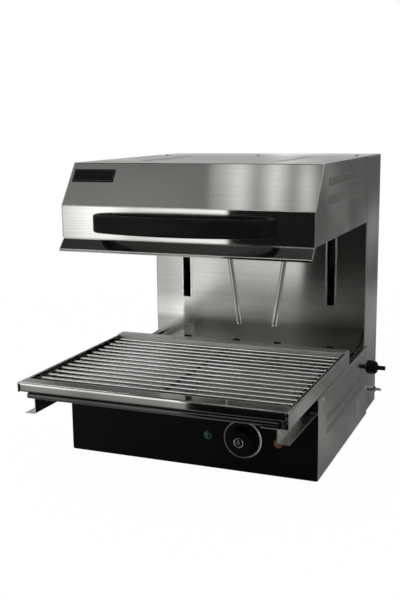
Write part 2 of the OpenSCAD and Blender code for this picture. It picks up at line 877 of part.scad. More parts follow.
module hood_fixing_screws() color(bright) fixing_places() {
    cylinder(r = fixing_head, h = 2 * sheet);
    translate([0, 0, -sheet - flange_t]) cylinder(r = fixing_r, h = sheet + flange_t + over);
}

reflector_path = [
    [reflector_front, reflector_lip], [reflector_front + reflector_slope, reflector_z],
    [reflector_back - reflector_slope, reflector_z], [reflector_back, reflector_lip]
];

module pass_places() for (y0 = [element_front_y, element_rear_y], k = [0:passes - 1])
    translate([y0 + k * pass_pitch, element_z]) children();

module reflector() color(bright) {
    half = reflector_w / 2;
    path = rounded(reflector_path, reflector_r);
    along_x(-half, half) polygon(sheet_outline(path, reflector_t));
    both_sides() along_x(half - reflector_t, half) difference() {
        polygon(filled_outline(path, reflector_t));
        pass_places() circle(tube_r + bush_bore);
    }
}

module insulation_mat() color(ceramic) {
    depth = reflector_back - reflector_front - 2 * reflector_slope;
    translate([0, element_mid, reflector_z + reflector_t]) linear_extrude(insulation_t)
        round_rect(reflector_w - 8, depth - 8, 6);
}

// Tube bent to and fro in the horizontal plane, both ends at the right
module heating_element(y0) color(grey) translate([0, y0, element_z]) {
    half = pass_length / 2;
    for (k = [0:passes - 1]) {
        end = (k == 0 || k == passes - 1) ? tube_end : half;
        translate([-half, k * pass_pitch, 0]) rotate([0, 90, 0]) cylinder(r = tube_r, h = half + end);
    }
    for (k = [0:passes - 2]) {
        side = k % 2 == 0 ? -1 : 1;
        translate([side * half, (k + 0.5) * pass_pitch, 0]) rotate(side * 90 - 180)
            rotate_extrude(angle = 180) translate([pass_pitch / 2, 0]) circle(tube_r);
    }
}

module front_element() heating_element(element_front_y);

module rear_element() heating_element(element_rear_y);

module element_hangers() color(steel) for (x = hanger_xs) along_x(x - hanger_t / 2, x + hanger_t / 2)
    difference() {
        translate([element_front_y - 9, element_z - hanger_drop])
            square([2 * element_d + element_gap + 18, reflector_z - element_z + hanger_drop]);
        pass_places() circle(tube_r + bush_bore);
        for (y0 = [element_front_y, element_rear_y], k = [0:passes - 2])
            translate([y0 + (k + 0.5) * pass_pitch, element_z - hanger_drop]) circle(hanger_drop);
    }

module element_bushes() color(ceramic) for (y0 = [element_front_y, element_rear_y], k = [0, passes - 1])
    translate([reflector_w / 2, y0 + k * pass_pitch, element_z]) rotate([0, 90, 0]) difference() {
        cylinder(r = tube_r + 3, h = bush_out);
        translate([0, 0, -over]) cylinder(r = tube_r, h = bush_out - 4 + over);
    }

// Insulating block with a screw well over each of its terminals
module terminal_block(size) color(ceramic) difference() {
    cube(size);
    for (i = [0:2]) translate([(i + 0.5) * size[0] / 3, size[1] / 2, size[2] / 3])
        cylinder(r = size[0] / 20, h = size[2]);
}

module element_terminal_block()
    translate([-terminals[0] / 2, hood_back - sheet - terminals[1], reflector_z + 2 * reflector_t])
        terminal_block(terminals);

// ---- Handle ----

// Middle line of the grip's right half, seen from above, as [x, y, direction]
function handle_line() = concat(
    [for (i = [0:12]) let (a = bow_angle * i / 12)
        [bow_r * sin(a), bow_r - handle_out - bow_r * cos(a), a]],
    [for (i = [1:8]) let (a = bow_angle + (90 - bow_angle) * i / 8)
        [bow_p + handle_turn * sin(a), -handle_turn * cos(a), a]]
);

// Rounded upright section of the grip, as [across, up]
function grip_points() = [
    for (corner = [[1, 1, 0], [-1, 1, 90], [-1, -1, 180], [1, -1, 270]], i = [0:4])
    let (a = corner[2] + 22.5 * i)
    [
        corner[0] * (handle_t / 2 - handle_corner) + handle_corner * cos(a),
        corner[1] * (handle_h / 2 - handle_corner) + handle_corner * sin(a)
    ]
];

module hood_handle() color(black) translate([0, band_y, handle_z]) difference() {
    right = handle_line();
    left = [for (i = [len(right) - 1:-1:1]) [-right[i][0], right[i][1], -right[i][2]]];
    skin([for (p = concat(left, right)) [for (q = grip_points())
        [p[0] - q[0] * sin(p[2]), p[1] + q[0] * cos(p[2]), q[1]]]]);
    both_sides() translate([handle_half, -handle_turn / 2, 0]) rotate([-90, 0, 0])
        cylinder(r = handle_screw_r, h = handle_turn);
}

module handle_screws() color(bright) both_sides() translate([handle_half, band_y + sheet, handle_z])
    rotate([-90, 0, 0]) {
        cylinder(r = 2 * handle_screw_r, h = 3);
        translate([0, 0, -sheet - handle_screw_l])
            cylinder(r = handle_screw_r, h = sheet + handle_screw_l + over);
    }

// ---- Carriages ----

module carriage() color(grey) difference() {
    union() {
        box([slot_x - flange_half, hood_back, arm_low], [slot_x + flange_half, hood_back + flange_t, arm_high]);
        box([slot_x - web_w / 2, hood_back, arm_low], [slot_x + web_w / 2, plate_back, arm_high]);
        box([slot_x - plate_w / 2, plate_y, plate_low], [slot_x + plate_w / 2, plate_back, arm_high]);
        box(
            [spring_x - lug_depth, plate_y, plate_low],
            [slot_x, rod_y + lug_depth, plate_low + lug_t]
        );
        for (z = housing_lows) {
            translate([slot_x, rod_y, z]) cylinder(r = housing_r, h = housing_h);
            box([slot_x - housing_r, plate_y, z], [slot_x + housing_r, rod_y, z + housing_h]);
        }
    }
    translate([slot_x, rod_y, plate_low - over]) cylinder(r = bush_flange_r + 1, h = lug_t + 2 * over);
    for (z = housing_lows) translate([slot_x, rod_y, z - over]) cylinder(r = bush_r, h = housing_h + 2 * over);
    translate([slot_x, plate_y - over, bolt_z]) rotate([-90, 0, 0]) cylinder(r = fixing_r, h = plate_t + 2 * over);
    fixing_places() cylinder(r = fixing_r, h = flange_half, center = true);
}

module carriage_left() mirror([1, 0, 0]) carriage();

module carriage_right() carriage();

module carriage_bushes() color(brass) both_sides() for (z = housing_lows) translate([slot_x, rod_y, z])
    difference() {
        union() {
            cylinder(r = bush_r, h = housing_h);
            translate([0, 0, -bush_flange_t]) cylinder(r = bush_flange_r, h = bush_flange_t);
        }
        translate([0, 0, -bush_flange_t - over]) cylinder(r = rod_r + rod_fit, h = housing_h + 10);
    }

module carriage_bolts() color(bright) both_sides() translate([slot_x, plate_y, bolt_z]) rotate([90, 0, 0]) {
    rotate_extrude() polygon(concat(
        [[0, -1], [fixing_r, -1], [fixing_r, 0]], [for (a = [0:15:90]) [bolt_r * cos(a), 0.6 + 2.8 * sin(a)]]
    ));
    translate([0, 0, -plate_t - 3]) cylinder(r = 2.9, h = plate_t + 3);
}

// ---- Rack ----

// Side of the rack: an upright plate with a ledge for the drip tray and a flat top flange
module rack_side() color(steel) difference() {
    along_y(rack_front, rack_back) bent([
        [rack_w / 2 - frame_ledge, rack_low], [rack_w / 2, rack_low], [rack_w / 2, rack_top],
        [rack_w / 2 - side_flange, rack_top]
    ]);
    for (ends = [[rack_front - over, rack_front + front_flange], [rack_back - back_flange, rack_back + over]])
        box([0, ends[0], rack_top - bend_r], [rack_inner, ends[1], rack_top + over]);
    rivet_places() cylinder(r = rivet_shank, h = 8 * sheet, center = true);
}

// The left side is cut away below the front rail, beside the drip tray's roll
module rack_side_left() difference() {
    mirror([1, 0, 0]) rack_side();
    box(
        [-rack_w / 2 - over, rack_front - over, rack_low - over],
        [0, rack_front + corner_cut, grid_ledge_z - over]
    );
}

module rack_side_right() rack_side();

// Front rail: flat flange, skirt and a ledge for the grid; the skirt stops short of the side plates
module rack_front_rail() color(steel) difference() {
    along_x(-rack_inner, rack_inner) bent([
        [rack_front + front_flange, rack_top], [rack_front, rack_top],
        [rack_front, grid_ledge_z], [rack_front + front_flange + ledge_reach, grid_ledge_z]
    ], sheet);
    both_sides() box(
        [rack_inner - rail_end, rack_front - over, grid_ledge_z - over],
        [rack_inner + over, rack_front + bend_r + over, rack_top - bend_r]
    );
}

module rack_rear_rail() color(steel) along_x(-rack_inner, rack_inner) {
    high = rack_top + rear_rise;
    bent([
        [rack_back, rack_low + 2 * sheet], [rack_back, high], [rack_back - back_flange, high],
        [rack_back - back_flange, high - rail_lip]
    ], sheet);
    translate([rack_back - back_flange - ledge_reach, grid_ledge_z])
        square([back_flange + ledge_reach - sheet / 2, sheet]);
}

module rivet_places() both_sides() for (i = [0:rivet_count - 1]) {
    span = runner_back - runner_front - 2 * rivet_margin;
    translate([rivet_x, runner_front + rivet_margin + i * span / (rivet_count - 1), rack_low]) children();
}

module runner() color(steel) difference() {
    along_y(runner_front, runner_back) bent([
        [runner_top, rack_low], [runner_web, rack_low], [runner_web, runner_low], [flange_tip, runner_low]
    ], -sheet, 2);
    rivet_places() cylinder(r = rivet_shank, h = 8 * sheet, center = true);
}

module runner_left() mirror([1, 0, 0]) runner();

module runner_right() runner();

module runner_rivets() color(bright) rivet_places() {
    translate([0, 0, -sheet - rivet_head]) cylinder(r = rivet_r, h = rivet_head);
    translate([0, 0, -sheet - over / 2]) cylinder(r = rivet_shank, h = 2 * sheet + over / 2);
}

module grill_rods() color(bright) for (i = [0:grill_rods - 1])
    translate([-grid_half, rod_first + i * rod_pitch, grill_z]) rotate([0, 90, 0])
        cylinder(r = grill_r, h = 2 * grid_half);

module grid_bars() difference() {
    color(bright) for (x = bar_xs)
        box([x - bar_w / 2, grid_front, grid_low], [x + bar_w / 2, grid_back, grid_low + bar_h]);
    grill_rods();
}

module drip_tray() color(bright) {
    depth = tray_back - tray_front;
    corner = 8;
    translate([0, (tray_front + tray_back) / 2, tray_low]) {
        linear_extrude(tray_t) round_rect(2 * tray_half, depth, corner);
        linear_extrude(tray_h) difference() {
            round_rect(2 * tray_half, depth, corner);
            round_rect(2 * (tray_half - tray_t), depth - 2 * tray_t, corner - tray_t);
        }
    }
    translate([-tray_half, tray_front - roll_r + tray_t, tray_low + roll_r]) rotate([0, 90, 0])
        difference() {
            cylinder(r = roll_r, h = 2 * tray_half);
            translate([0, 0, -over]) cylinder(r = roll_r - tray_t, h = 2 * (tray_half + over));
        }
}

base_casing();
bottom_plate();
control_panel();
feet();
foot_screws();
casing_screws();
runner_guides();
column_shell();
column_front_panel();
back_cover();
back_cover_screws();
column_top_screws();
slot_liners();
guide_rods();
rod_bracket_low();
rod_bracket_high();
balance_springs();
thermostat();
power_lamp();
heat_lamp();
dial_ring_chrome();
mains_terminal_block();
cable_gland();
gland_locknut();
gland_sleeve();
bonding_stud();
bonding_nuts();
hood_wrap();
hood_side_left();
hood_side_right();
hood_visor();
hood_back_plate();
reflector();
insulation_mat();
front_element();
rear_element();
element_hangers();
element_bushes();
element_terminal_block();
hood_handle();
handle_screws();
carriage_left();
carriage_right();
carriage_bushes();
carriage_bolts();
hood_fixing_screws();
rack_side_left();
rack_side_right();
rack_front_rail();
rack_rear_rail();
runner_left();
runner_right();
runner_rivets();
grill_rods();
grid_bars();
drip_tray();
control_knob();
knob_cap();
thermostat_spindle();
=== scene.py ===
"""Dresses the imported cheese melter: plates, grip and dial marks, finishes, floor, light and camera.

Lengths are metres in the frame's own axes: x to the right, y to the back, z up from the counter.
"""

import math

import bpy
import numpy as np
from mathutils import Matrix, Vector


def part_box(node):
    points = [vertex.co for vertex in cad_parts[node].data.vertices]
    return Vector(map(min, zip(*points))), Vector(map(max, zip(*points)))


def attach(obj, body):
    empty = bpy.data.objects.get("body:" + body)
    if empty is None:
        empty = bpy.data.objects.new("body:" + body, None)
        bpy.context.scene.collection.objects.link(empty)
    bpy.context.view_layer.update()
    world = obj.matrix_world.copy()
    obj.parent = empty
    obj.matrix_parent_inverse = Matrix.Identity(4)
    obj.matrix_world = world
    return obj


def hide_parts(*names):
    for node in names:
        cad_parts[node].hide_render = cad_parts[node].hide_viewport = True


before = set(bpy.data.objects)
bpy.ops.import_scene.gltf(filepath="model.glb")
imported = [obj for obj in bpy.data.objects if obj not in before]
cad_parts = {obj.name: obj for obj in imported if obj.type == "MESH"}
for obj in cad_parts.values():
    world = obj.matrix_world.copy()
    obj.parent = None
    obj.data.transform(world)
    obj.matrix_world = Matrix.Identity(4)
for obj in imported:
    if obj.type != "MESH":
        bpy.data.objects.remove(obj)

bl_info = {
    "name": "Cheese melter dressing",
    "version": (1, 0, 0),
    "blender": (4, 5, 0),
    "location": "View3D > Sidebar > Melter",
    "description": "Plates, grip, dial marks, finishes and stage for a rise-and-fall grill",
    "category": "Add Mesh",
}


# ---- Sizes and colours to change ----

def length(name, description, default):
    """A length property in metres."""
    return bpy.props.FloatProperty(
        name=name, description=description, default=default, subtype="DISTANCE", unit="LENGTH",
        precision=4,
    )


def tone(name, description, default):
    """A colour property, linear red, green and blue."""
    return bpy.props.FloatVectorProperty(
        name=name, description=description, default=default, subtype="COLOR", size=3,
        min=0.0, max=1.0,
    )


class MelterSizes(bpy.types.PropertyGroup):
    """Sizes of the plates, the grip and the dial marks."""

    badge_w: length("Badge width", "Width of the bare plate on the hood's slope", 0.079)
    badge_h: length("Badge height", "Height of the bare plate along the slope", 0.025)
    badge_x: length("Badge middle", "Middle of the plate, to the left of the hood's middle", 0.179)
    badge_up: length(
        "Badge rise", "Height of the plate's middle above the band, along the slope", 0.0605
    )
    label_w: length("Label width", "Width of the bare label on the base's side", 0.088)
    label_h: length("Label height", "Height of the bare label", 0.05)
    label_y: length("Label middle", "Middle of the label behind the body's middle", 0.087)
    label_z: length("Label rise", "Height of the label's middle above the counter", 0.041)
    inlay_r: length("Inlay radius", "Radius of the dark inlay in the knob's cap", 0.0066)
    grip_corner: length("Grip corner", "Radius of the grip's long edges", 0.0045)


class MelterTones(bpy.types.PropertyGroup):
    """Colours of the finishes."""

    steel: tone("Steel", "Brushed stainless sheet", (0.58, 0.575, 0.55))
    bright: tone("Bright", "Plated rods and screws", (0.72, 0.72, 0.70))
    zinc: tone("Zinc", "Plated inner parts", (0.50, 0.51, 0.53))
    black: tone("Black", "Panel's powder coat", (0.0022, 0.0022, 0.0024))
    moulding: tone("Moulding", "Grip and knob", (0.005, 0.005, 0.0053))
    green: tone("Green lens", "Power lamp", (0.002, 0.07, 0.02))
    amber: tone("Amber lens", "Heating lamp", (0.25, 0.08, 0.008))
    floor: tone("Floor", "Plain floor", (0.86, 0.86, 0.86))


# ---- Fixed measures of the added pieces ----

CORNER_STEPS = 6      # round each corner of a plate
TURN_STEPS = 48       # round a turned mark
LEAST_CORNER = 0.0002

# Levels of the low plates: the inset from the outline and the rise from the sheet.
BADGE_LEVELS = [
    (0, 0), (0, 0.0011), (0.0003, 0.0014), (0.0016, 0.0014), (0.002, 0.0012), (0.008, 0.00118),
]
BADGE_LINE_LEVELS = [(0.0016, 0.0013), (0.0017, 0.00155), (0.0023, 0.00155), (0.0024, 0.0012)]
LABEL_LEVELS = [(0, 0), (0, 0.00018), (0.0002, 0.00025), (0.004, 0.00026)]
POINTER_LEVELS = [(0, 0), (0, 0.00052), (0.0001, 0.00058), (0.0003, 0.00058)]
BADGE_CORNER, BADGE_LINE_CORNER, LABEL_CORNER, POINTER_CORNER = 0.0012, 0.0022, 0.003, 0.0004

# Profiles turned round the cap's axis: a share of the inlay's radius, an inset and a rise.
INLAY_PROFILE = [
    (1, 0, 0), (1, 0, 0.0002), (1, 0.0002, 0.0003), (0.5, 0, 0.0004), (0.03, 0, 0.00042),
]
EYE_PROFILE = [(0.4, 0, 0.0003), (0.4, 0, 0.00055), (0.27, 0, 0.00055), (0.27, 0, 0.0003)]
INLAY_FOOT = 0.0012   # in front of the cap's back
POINTER_WIDTH = 0.0011
POINTER_LENGTH, POINTER_PLACE = 0.75, 0.55   # shares of the inlay's radius

# The hood's slope: the height of its foot and the depth of its top.
SLOPE_FOOT_Z, SLOPE_TOP_Y = 0.451, -0.206

# The bow handle: its thickness, the radius of the turns at its ends, and steps along and round it.
GRIP_THICK, GRIP_TURN = 0.012, 0.020
GRIP_ARC_STEPS, GRIP_TURN_STEPS, GRIP_EDGE_STEPS = 48, 24, 8


# ---- Surfaces ----

def mesh_piece(name, rings, body, capped=True, smooth=False):
    """Puts closed rings of points and the faces between them into one mesh that rides on a body."""
    rows, columns = rings.shape[:2]
    mesh = bpy.data.meshes.new(name)
    mesh.from_pydata(rings.reshape(-1, 3).tolist(), [], ring_faces(rows, columns, capped))
    mesh.validate()
    mesh.polygons.foreach_set("use_smooth", np.full(len(mesh.polygons), smooth))
    mesh.update()
    piece = bpy.data.objects.new(name, mesh)
    bpy.context.scene.collection.objects.link(piece)
    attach(piece, body)
    return piece


def ring_faces(rows, columns, capped):
    """Faces between closed rings: point j of ring i joins point j + 1 and ring i + 1.

    Capped, the first and the last ring are closed by flat ends; otherwise the last joins the first.
    """
    i, j = np.meshgrid(np.arange(rows - 1 if capped else rows), np.arange(columns), indexing="ij")
    k, n = (j + 1) % columns, (i + 1) % rows
    quads = np.stack([i * columns + j, i * columns + k, n * columns + k, n * columns + j], -1)
    faces = quads.reshape(-1, 4).tolist()
    if capped:
        start = np.arange(columns)
        faces += [start[::-1].tolist(), (start + (rows - 1) * columns).tolist()]
    return faces


def rounded_loop(width, height, radius, steps=CORNER_STEPS):
    """Points of a rounded rectangle: a corner's centre plus a radius along an angle, by quarters."""
    angles = np.linspace(0, math.pi / 2, steps + 1)
    turn = np.repeat(np.arange(4), steps + 1) * math.pi / 2
    angle = np.tile(angles, 4) + turn
    signs = np.array([[1, 1], [-1, 1], [-1, -1], [1, -1]]).repeat(steps + 1, axis=0)
    centre = signs * np.array([width / 2 - radius, height / 2 - radius])
    return centre + radius * np.stack([np.cos(angle), np.sin(angle)], -1)


def raised_plate(width, height, radius, levels):
    """A low plate: each level is the rounded outline drawn in by an inset and lifted by a rise."""
    rings = []
    for inset, rise in levels:
        corner = max(radius - inset, LEAST_CORNER)
        loop = rounded_loop(width - 2 * inset, height - 2 * inset, corner)
        rings.append(np.column_stack([loop, np.full(len(loop), rise)]))
    return np.array(rings)


def turned(profile):
    """A turned shape: each (radius, rise) of the profile goes once round the axis."""
    angle = np.arange(TURN_STEPS) * 2 * math.pi / TURN_STEPS
    return np.array([
        np.column_stack([radius * np.cos(angle), radius * np.sin(angle), np.full(TURN_STEPS, rise)])
        for radius, rise in profile
    ])


def placed(rings, origin, across, up):
    """Moves rings to a place: origin + x times across + y times up + z times their cross product."""
    return np.asarray(origin) + rings @ np.array([across, up, np.cross(across, up)])


def bow_bar(low, high, corner):
    """A rounded upright section carried along a flat arc whose ends turn back by a small radius.

    The arc and the turns meet with one direction, so the arc's centre lies on the line through
    each turn's centre: gap = (p * p + q * q) / (2 * q), with p and q the half width and the reach
    less the turn.
    """
    half = (high.x - low.x) / 2 - GRIP_THICK / 2
    out = (high.y - low.y) - GRIP_THICK / 2
    p, q = half - GRIP_TURN, out - GRIP_TURN
    gap = (p * p + q * q) / (2 * q)
    radius = gap + GRIP_TURN
    reach = math.asin(p / gap)
    a = np.linspace(0, reach, GRIP_ARC_STEPS + 1)
    b = np.linspace(reach, math.pi / 2, GRIP_TURN_STEPS + 1)[1:]
    right = np.concatenate([
        np.stack([radius * np.sin(a), radius - out - radius * np.cos(a), a], -1),
        np.stack([p + GRIP_TURN * np.sin(b), -GRIP_TURN * np.cos(b), b], -1),
    ])
    line = np.concatenate([right[:0:-1] * [-1, 1, -1], right])
    section = rounded_loop(GRIP_THICK, high.z - low.z, corner, GRIP_EDGE_STEPS)
    x = line[:, None, 0] - section[None, :, 0] * np.sin(line[:, None, 2])
    y = line[:, None, 1] + section[None, :, 0] * np.cos(line[:, None, 2])
    z = np.broadcast_to(section[None, :, 1], x.shape)
    return np.stack([x, y, z], -1) + np.array([0, high.y, (low.z + high.z) / 2])


# ---- Nodes ----

def feed(tree, value, socket):
    """Gives a socket a number or a colour, or links it to another node's output."""
    if isinstance(value, bpy.types.NodeSocket):
        tree.links.new(value, socket)
    elif isinstance(value, tuple):
        socket.default_value = (*value, 1.0)
    else:
        socket.default_value = value


def axes(tree, space="Object"):
    """The three coordinates of a point, or of a direction in the world's nodes."""
    where = tree.nodes.new("ShaderNodeTexCoord")
    parts = tree.nodes.new("ShaderNodeSeparateXYZ")
    tree.links.new(where.outputs[space], parts.inputs["Vector"])
    return parts.outputs


def pattern(tree, stretch, detail, kind="ShaderNodeTexNoise", space="Object"):
    """Noise; stretch is how many lumps lie along each metre, one number or one each for x, y, z."""
    if not isinstance(stretch, tuple):
        stretch = (stretch,) * 3
    where = tree.nodes.new("ShaderNodeTexCoord")
    mapping = tree.nodes.new("ShaderNodeMapping")
    mapping.inputs["Scale"].default_value = stretch
    texture = tree.nodes.new(kind)
    texture.inputs["Scale"].default_value = 1.0
    texture.inputs["Detail"].default_value = detail
    tree.links.new(where.outputs[space], mapping.inputs["Vector"])
    tree.links.new(mapping.outputs["Vector"], texture.inputs["Vector"])
    return texture.outputs[0]


def between(tree, value, low, high, start=0.3, end=0.7):
    """Maps a value's start to end, which is where noise mostly lies, on the range low to high."""
    node = tree.nodes.new("ShaderNodeMapRange")
    for key, number in (("From Min", start), ("From Max", end), ("To Min", low), ("To Max", high)):
        node.inputs[key].default_value = number
    tree.links.new(value, node.inputs["Value"])
    return node.outputs["Result"]


def rising(tree, value, start, end):
    """0 up to the start, 1 from the end on."""
    return between(tree, value, 0.0, 1.0, start, end)


def combined(tree, first, second, how="ADD"):
    """Adds two values, or joins them by another operation."""
    node = tree.nodes.new("ShaderNodeMath")
    node.operation = how
    for socket, value in zip(node.inputs, (first, second)):
        feed(tree, value, socket)
    return node.outputs[0]


def layered(tree, factor, first, second, how="MIX"):
    """Mixes two colours by a factor."""
    node = tree.nodes.new("ShaderNodeMixRGB")
    node.blend_type = how
    for socket, value in zip(node.inputs, (factor, first, second)):
        feed(tree, value, socket)
    return node.outputs[0]


def blended(tree, factor, first, second):
    """Mixes two shaders by a factor."""
    node = tree.nodes.new("ShaderNodeMixShader")
    for socket, value in zip(node.inputs, (factor, first, second)):
        tree.links.new(value, socket)
    return node.outputs[0]


def scaled(colour, factor):
    """A colour made lighter or darker."""
    return tuple(min(1.0, c * factor) for c in colour)


def grey(value):
    """A neutral colour."""
    return (value, value, value)


def shades(tree, value, stops):
    """Turns a value into colours by stops of (place, colour)."""
    ramp = tree.nodes.new("ShaderNodeValToRGB")
    elements = ramp.color_ramp.elements
    elements[0].position, elements[1].position = stops[0][0], stops[-1][0]
    for place, _ in stops[1:-1]:
        elements.new(place)
    for element, (_, colour) in zip(elements, stops):
        element.color = (*colour, 1.0)
    tree.links.new(value, ramp.inputs["Fac"])
    return ramp.outputs["Color"]


def tints(tree, value, colour, stops):
    """One colour made darker and lighter along a value by stops of (place, factor)."""
    return shades(tree, value, [(place, scaled(colour, factor)) for place, factor in stops])


def greys(tree, value, stops):
    """Greys along a value by stops of (value, brightness), spread over the span of the stops."""
    start, end = stops[0][0], stops[-1][0]
    stops = [((at - start) / (end - start), grey(bright)) for at, bright in stops]
    return shades(tree, rising(tree, value, start, end), stops)


def painted_light_along(tree, colour, axis, stops):
    """Painted light and shade: a colour made lighter or darker along one axis, by stops of (metres,
    factor).
    """
    return layered(tree, 1.0, colour, greys(tree, axes(tree)[axis], stops), "MULTIPLY")


def relief(tree, shader, height, depth, bend=0.0):
    """Raises the surface by a height times the depth; bend is the radius its edges shine with."""
    bump = tree.nodes.new("ShaderNodeBump")
    bump.inputs["Strength"].default_value = 1.0
    bump.inputs["Distance"].default_value = depth
    tree.links.new(height, bump.inputs["Height"])
    if bend:
        rounded = tree.nodes.new("ShaderNodeBevel")
        rounded.inputs["Radius"].default_value = bend
        tree.links.new(rounded.outputs["Normal"], bump.inputs["Normal"])
    tree.links.new(bump.outputs["Normal"], shader.inputs["Normal"])


def across_grain(tree, shader, axis):
    """Turns the sheen's long way across the brushing: round the axis that the grain follows."""
    tangent = tree.nodes.new("ShaderNodeTangent")
    tangent.direction_type = "RADIAL"
    tangent.axis = axis
    tree.links.new(tangent.outputs["Tangent"], shader.inputs["Tangent"])


# ---- Materials ----

# Brushed sheet: hair lines along each metre with and across the grain, their share in the tint
# beside the clouds', their depth, and the radius of the sheet's bends.
GRAIN_ALONG, GRAIN_ACROSS = 5, 1300
HAIR_SHARE, CLOUD_SHARE = 0.35, 0.65
HAIR_DEPTH = 0.000004
SHEET_BEND = 0.0015

# Painted light and shade on the sheets: metres along an axis and a factor on the colour.
# Painted light: the column's front is made up to 1.65 times lighter in a band just above the rack,
# and a little darker below it.
COLUMN_PAINTED_LIGHT = ("Z", [
    (0.13, 0.9), (0.178, 1.0), (0.19, 1.65), (0.205, 1.6), (0.235, 1.05), (0.3, 1.0),
])
# Painted shade and highlight: the front rail's skirt darkened to a quarter or a third, its top edge
# painted half as bright again.
RAIL_PAINTED_SHADE_AND_HIGHLIGHT = ("Z", [(0.15, 0.25), (0.1725, 0.35), (0.1745, 1.5), (0.178, 1.5)])
# Painted shade: the drip tray darker towards its front, darkest at the rolled edge under the rail.
TRAY_PAINTED_SHADE = ("Y", [(-0.412, 0.15), (-0.402, 0.2), (-0.39, 0.5), (-0.3, 0.6), (0.0, 0.75)])

BRASS = (0.56, 0.40, 0.17)
ALUMINIUM = (0.66, 0.66, 0.65)
INSULATOR = (0.62, 0.58, 0.50)
FIBRE = (0.66, 0.62, 0.52)
ENAMEL = (0.004, 0.004, 0.0045)
FOIL = (0.12, 0.123, 0.13)
OXIDE_BLUE, OXIDE_BROWN, OXIDE_PALE = (0.06, 0.055, 0.06), (0.13, 0.10, 0.085), (0.2, 0.17, 0.15)


def principled(name, colour, metallic, roughness, **constants):
    """A material whose Principled shader holds the given constants on its own sockets."""
    material = bpy.data.materials.new(name)
    material.use_nodes = True
    shader = material.node_tree.nodes["Principled BSDF"]
    shader.inputs["Base Color"].default_value = (*colour, 1.0)
    shader.inputs["Metallic"].default_value = metallic
    shader.inputs["Roughness"].default_value = roughness
    for key, value in constants.items():
        shader.inputs[key.replace("_", " ")].default_value = value
    return material, shader


def brushed_sheet(name, colour, axis, roughness=0.08, waves=0.0002, painted_light=None):
    """Brushed stainless: hair lines along one axis and a long sheen across them.

    Lines and soft clouds tint the colour, clouds and smears change the roughness, lines and buckles
    as deep as the waves raise the surface, and painted light and shade change the colour along an
    axis.
    """
    material, shader = principled(name, colour, 1.0, roughness, Anisotropic=1.0)
    tree = material.node_tree
    grain = (GRAIN_ALONG, GRAIN_ACROSS) if axis == "X" else (GRAIN_ACROSS, GRAIN_ALONG)
    lines = pattern(tree, (*grain, GRAIN_ACROSS), 4.0)
    cloud = pattern(tree, (5, 5, 4), 2.0)
    smears = pattern(tree, (16, 16, 11), 3.0)
    buckle = pattern(tree, (4, 4, 3), 1.0)
    mixed = combined(
        tree,
        combined(tree, lines, HAIR_SHARE, "MULTIPLY"),
        combined(tree, cloud, CLOUD_SHARE, "MULTIPLY"),
    )
    tinted = tints(tree, mixed, colour, [(0.36, 0.82), (0.5, 1.0), (0.64, 1.12)])
    # Painted light and shade along an axis, where a sheet is given them.
    if painted_light:
        tinted = painted_light_along(tree, tinted, *painted_light)
    tree.links.new(tinted, shader.inputs["Base Color"])
    rough = combined(
        tree,
        between(tree, smears, -0.005, 0.012),
        between(tree, cloud, roughness - 0.01, roughness + 0.01),
    )
    tree.links.new(rough, shader.inputs["Roughness"])
    height = combined(
        tree,
        combined(tree, lines, HAIR_DEPTH, "MULTIPLY"),
        combined(tree, buckle, waves, "MULTIPLY"),
    )
    relief(tree, shader, height, 1.0, SHEET_BEND)
    across_grain(tree, shader, axis)
    return material


def plated(name, colour, roughness=0.14, wear=0.25, ripple=0.00002, grain=120, detail=4.0):
    """Plating: spots darker by the wear and a little duller than the rest, and a fine ripple."""
    material, shader = principled(name, colour, 1.0, roughness)
    tree = material.node_tree
    spots = pattern(tree, grain, detail)
    tinted = tints(tree, spots, colour, [(0.3, 1 - wear), (0.5, 1.0), (0.7, 1.08)])
    tree.links.new(tinted, shader.inputs["Base Color"])
    tree.links.new(between(tree, spots, roughness + 0.12, roughness), shader.inputs["Roughness"])
    relief(tree, shader, pattern(tree, 420, 2.0), ripple)
    return material


def powder_coat(name, colour, roughness=0.42, sheen=0.07):
    """Satin powder coat: fine orange peel and a dusty variation."""
    material, shader = principled(name, colour, 0.0, roughness, Specular_IOR_Level=sheen)
    tree = material.node_tree
    dust = pattern(tree, 14, 5.0)
    tinted = tints(tree, dust, colour, [(0.35, 1.0), (0.62, 1.5), (0.78, 2.2)])
    tree.links.new(tinted, shader.inputs["Base Color"])
    rough = between(tree, dust, roughness - 0.06, roughness + 0.08)
    tree.links.new(rough, shader.inputs["Roughness"])
    relief(tree, shader, pattern(tree, 900, 2.0), 0.00005)
    return material


def moulded(name, colour, roughness, grain=600, depth=0.00003):
    """Moulded plastic or rubber: fine grain, soft sheen changes and faint rub marks."""
    material, shader = principled(name, colour, 0.0, roughness, Specular_IOR_Level=0.06)
    tree = material.node_tree
    rubs = pattern(tree, (24, 70, 70), 4.0)
    tinted = tints(tree, rubs, colour, [(0.35, 1.0), (0.6, 1.35), (0.75, 1.9)])
    tree.links.new(tinted, shader.inputs["Base Color"])
    rough = between(tree, rubs, roughness - 0.05, roughness + 0.12)
    tree.links.new(rough, shader.inputs["Roughness"])
    relief(tree, shader, pattern(tree, grain, 3.0), depth)
    return material


def spun_ring_painted_light(name, colour):
    """Spun chrome, finely rippled, worn unevenly, with painted shade left and a painted highlight
    right.
    """
    material, shader = principled(name, colour, 1.0, 0.2)
    tree = material.node_tree
    low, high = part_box("dial_ring_chrome")
    wear = combined(tree, pattern(tree, 60, 2.0), 0.3, "MULTIPLY")
    # Painted shade and highlight: darker at the ring's left, lighter at its right, plus uneven wear.
    place = combined(tree, between(tree, axes(tree)["X"], 0.0, 0.7, low.x, high.x), wear)
    tinted = tints(tree, place, colour, [(0.1, 0.25), (0.5, 0.4), (0.8, 1.5)])
    tree.links.new(tinted, shader.inputs["Base Color"])
    relief(tree, shader, pattern(tree, 700, 2.0), 0.000004)
    return material


